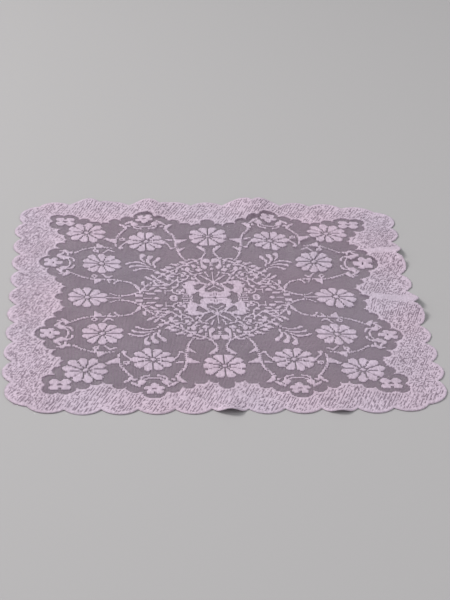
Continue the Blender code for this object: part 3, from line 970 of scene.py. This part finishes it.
# The border's yarn is lighter than the motifs': a painted highlight of its crinkled relief.
BORDER_YARN = (0.655, 0.535, 0.635)
SPARSE_YARN_AND_SHADE = (0.215, 0.16, 0.205)  # colour of the half-filled cells: their thinner yarn, and painted shade in their sunk openings
NET_YARN = (0.345, 0.253, 0.332)
HUE_DRIFT = ((1.02, 0.985, 0.99), (0.975, 1.015, 1.02))  # a little rosier here, a little greyer there
HUE_NOISE = (9, 1)  # scale and detail
TONES = (  # noise's scale and detail, and the darkest and lightest that it makes the yarn
    ((1500, 1), 0.86, 1.12),
    ((26, 2), 0.95, 1.05),
)
ROUGHNESS = ((700, 2), 0.72, 0.95)
NOISE_SPAN = (0.3, 0.7)  # the values between which most of the noise lies
SHEEN, SHEEN_ROUGHNESS, SHEEN_TINT = 0.12, 0.5, (0.95, 0.92, 1.0, 1.0)
SPECULAR = 0.3
YARN_COURSE, NET_COURSE = 0.7, 0.45  # pitch of the knitted courses
BORDER_PUCKER, MOTIF_PUCKER, NET_PUCKER = 0.9, 0.2, 0.0
PUCKER_STRENGTH, PUCKER_NOISE = 1.0, (420, 1)
COURSE_BUMP = (0.5, 0.12)  # strength and depth
COURSE_WAVER, COURSE_DETAIL, COURSE_DETAIL_SCALE = 1.6, 1.0, 1.4
FUZZ_BUMP, FUZZ_NOISE = (0.35, 0.08), (4200, 3)
WAVE_RATE = 20  # radians that the wave texture turns in a metre, at a scale of one


def yarn_material(name, colour, shade, course, pucker):
    """Matt knitted yarn: a course every few tenths of a millimetre, mottled finely and blotched faintly."""
    material = bpy.data.materials.new(name)
    material.use_nodes = True
    nodes, links = material.node_tree.nodes, material.node_tree.links
    shader = nodes["Principled BSDF"]
    shader.inputs["Sheen Weight"].default_value = SHEEN
    shader.inputs["Sheen Roughness"].default_value = SHEEN_ROUGHNESS
    shader.inputs["Sheen Tint"].default_value = SHEEN_TINT
    shader.inputs["Specular IOR Level"].default_value = SPECULAR
    place = nodes.new("ShaderNodeTexCoord")

    def noise(scale, detail):
        texture = nodes.new("ShaderNodeTexNoise")
        texture.inputs["Scale"].default_value = scale
        texture.inputs["Detail"].default_value = detail
        links.new(place.outputs["Object"], texture.inputs["Vector"])
        return texture.outputs["Fac"]

    def spread(value, low, high):
        """The noise, stretched to run from low to high."""
        ramp = nodes.new("ShaderNodeMapRange")
        ramp.inputs["From Min"].default_value = NOISE_SPAN[0]
        ramp.inputs["From Max"].default_value = NOISE_SPAN[1]
        ramp.inputs["To Min"].default_value = low
        ramp.inputs["To Max"].default_value = high
        links.new(value, ramp.inputs["Value"])
        return ramp.outputs["Result"]

    def mixed(share, first, second):
        mix = nodes.new("ShaderNodeMix")
        mix.data_type = "RGBA"
        mix.inputs["A"].default_value = (*first, 1)
        mix.inputs["B"].default_value = (*second, 1)
        links.new(share, mix.inputs["Factor"])
        return mix.outputs["Result"]

    def bump(height, strength, depth):
        node = nodes.new("ShaderNodeBump")
        node.inputs["Strength"].default_value = strength
        node.inputs["Distance"].default_value = depth * MM
        links.new(height, node.inputs["Height"])
        return node

    # The more open a cell, the nearer its colour comes to the shade colour: thinner yarn, and painted shade
    # in its openings.
    openness = nodes.new("ShaderNodeAttribute")
    openness.attribute_name = "openness"
    yarn_colour = mixed(openness.outputs["Fac"], colour, shade)
    for grain, darkest, lightest in TONES:
        toned = nodes.new("ShaderNodeVectorMath")
        toned.operation = "SCALE"
        links.new(yarn_colour, toned.inputs[0])
        links.new(spread(noise(*grain), darkest, lightest), toned.inputs["Scale"])
        yarn_colour = toned.outputs["Vector"]
    tinted = nodes.new("ShaderNodeVectorMath")
    tinted.operation = "MULTIPLY"
    links.new(yarn_colour, tinted.inputs[0])
    links.new(mixed(spread(noise(*HUE_NOISE), 0, 1), *HUE_DRIFT), tinted.inputs[1])
    links.new(tinted.outputs["Vector"], shader.inputs["Base Color"])
    grain, smoothest, roughest = ROUGHNESS
    links.new(spread(noise(*grain), smoothest, roughest), shader.inputs["Roughness"])

    courses = nodes.new("ShaderNodeTexWave")
    courses.bands_direction = "Y"
    courses.inputs["Scale"].default_value = 2 * math.pi / (WAVE_RATE * course * MM)
    courses.inputs["Distortion"].default_value = COURSE_WAVER
    courses.inputs["Detail"].default_value = COURSE_DETAIL
    courses.inputs["Detail Scale"].default_value = COURSE_DETAIL_SCALE
    links.new(place.outputs["Object"], courses.inputs["Vector"])
    puckers = bump(noise(*PUCKER_NOISE), PUCKER_STRENGTH, pucker)
    ribs = bump(courses.outputs["Fac"], *COURSE_BUMP)
    fuzz = bump(noise(*FUZZ_NOISE), *FUZZ_BUMP)
    for below, above in ((puckers, ribs), (ribs, fuzz), (fuzz, shader)):
        links.new(below.outputs["Normal"], above.inputs["Normal"])
    return material


# ==== stage, in metres
CAMERA_TARGET = (0.00774, -0.00769, 0.0)
CAMERA_DISTANCE = 1.680
CAMERA_AZIMUTH = -5.70
CAMERA_ELEVATION = 30.34
CAMERA_ROLL = 2.90
FOCAL_PIXELS = 1539.0
PHOTO_LONG_SIDE = 600
SENSOR_WIDTH = 36.0
FLOOR_SIZE, FLOOR_Z = 12, -0.0002
FLOOR_GREY, FLOOR_ROUGHNESS = (0.42, 0.41, 0.41, 1), 0.9
LIGHTS = (  # name, place, diameter, power, colour
    ("key", (-2.2, 0.7, 2.35), 1.2, 80.0, (1.0, 0.985, 0.97)),
    ("fill", (1.6, -1.4, 1.6), 2.2, 12.0, (0.97, 0.98, 1.0)),
)
SKY, SKY_STRENGTH = (0.96, 0.97, 1.0, 1), 0.55


def add_camera():
    data = bpy.data.cameras.new("camera")
    data.sensor_width = SENSOR_WIDTH
    data.lens = SENSOR_WIDTH * FOCAL_PIXELS / PHOTO_LONG_SIDE
    camera = bpy.data.objects.new("camera", data)
    azimuth, elevation = math.radians(CAMERA_AZIMUTH), math.radians(CAMERA_ELEVATION)
    level = math.cos(elevation)
    back = Vector((math.sin(azimuth) * level, -math.cos(azimuth) * level, math.sin(elevation)))
    camera.location = Vector(CAMERA_TARGET) + back * CAMERA_DISTANCE
    look = (-back).to_track_quat("-Z", "Y")
    camera.rotation_mode = "QUATERNION"
    camera.rotation_quaternion = look @ Quaternion((0, 0, 1), math.radians(CAMERA_ROLL))
    bpy.context.scene.collection.objects.link(camera)
    bpy.context.scene.camera = camera


def add_floor():
    bpy.ops.mesh.primitive_plane_add(size=FLOOR_SIZE, location=(0, 0, FLOOR_Z))
    floor = bpy.context.object
    floor.name = "floor"
    material = bpy.data.materials.new("floor_grey")
    material.use_nodes = True
    shader = material.node_tree.nodes["Principled BSDF"]
    shader.inputs["Base Color"].default_value = FLOOR_GREY
    shader.inputs["Roughness"].default_value = FLOOR_ROUGHNESS
    floor.data.materials.append(material)


def add_light(name, location, size, power, colour):
    """A round lamp that faces the middle of the cloth."""
    data = bpy.data.lights.new(name, "AREA")
    data.shape = "DISK"
    data.size = size
    data.energy = power
    data.color = colour
    light = bpy.data.objects.new(name, data)
    light.location = location
    light.rotation_mode = "QUATERNION"
    light.rotation_quaternion = (-Vector(location)).to_track_quat("-Z", "Y")
    bpy.context.scene.collection.objects.link(light)


def add_sky():
    world = bpy.data.worlds.new("studio")
    world.use_nodes = True
    background = world.node_tree.nodes["Background"]
    background.inputs["Color"].default_value = SKY
    background.inputs["Strength"].default_value = SKY_STRENGTH
    bpy.context.scene.world = world


# ==== the object
def build_pieces(edge, net):
    """Border, motifs, the net's threads and loose ends, with the border's area in square metres."""
    off = off_middle(edge)
    middle = Lattice(HALF_COLUMNS, HALF_ROWS, COLUMN, ROW)
    kinds = make_chart(net, *middle.middles())
    middle.wander()
    middle.lay_down(off)
    band = Lattice(BORDER_HALF_COLUMNS, BORDER_HALF_ROWS, BORDER_COLUMN, BORDER_ROW, BORDER_LEAN)
    x, y = band.middles()
    in_cloth = inside(edge, x, y)
    border_cells = in_cloth & ~inside(net, x, y)
    strokes = border_cells & border_strokes(edge, net, x, y)
    band.wander()
    around = cells_round(in_cloth)
    band.draw_to((around > 0) & (around < 4), edge)
    band.lay_down(off)

    border_yarn = yarn_material("border_yarn", BORDER_YARN, SPARSE_YARN_AND_SHADE, YARN_COURSE, BORDER_PUCKER)
    cloth = yarn_material("dense_yarn", YARN, SPARSE_YARN_AND_SHADE, YARN_COURSE, MOTIF_PUCKER)
    net_yarn = yarn_material("net_yarn", NET_YARN, NET_YARN, NET_COURSE, NET_PUCKER)
    border = relief("lace_border", band, border_cells, strokes, border_yarn)
    pattern = relief("lace_motifs", middle, kinds > NET, kinds == OPEN, cloth)
    wales, links = net_threads(middle, kinds, net_yarn)
    frays = prisms("frayed_ends", fray_paths(edge, off), FRAY_SIDES, cloth)
    border_area = float(border_cells.sum() * BORDER_COLUMN * BORDER_ROW * MM**2)
    return [border, pattern, wales, links, frays], border_area


def main():
    edge = outline(scallop_quarter(), LOBE_BULGE_Y, LOBE_STEPS)
    net = outline(NET_EDGE, NET_BULGE_ON_Y_AXIS, NET_EDGE_STEPS)
    pieces, border_area = build_pieces(edge, net)
    border = pieces[0]
    lay_out(border, RING_TOP_MAP, RING_UNDER_MAP)
    for piece in pieces[1:]:
        lay_out(piece, TOP_MAP, UNDER_MAP)
    for piece in pieces:
        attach(piece, "root")
        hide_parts("lace_doily")
    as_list(pieces[1:])
    add_camera()
    add_floor()
    for row in LIGHTS:
        add_light(*row)
    add_sky()
    bpy.context.scene.view_settings.view_transform = "Standard"


main()
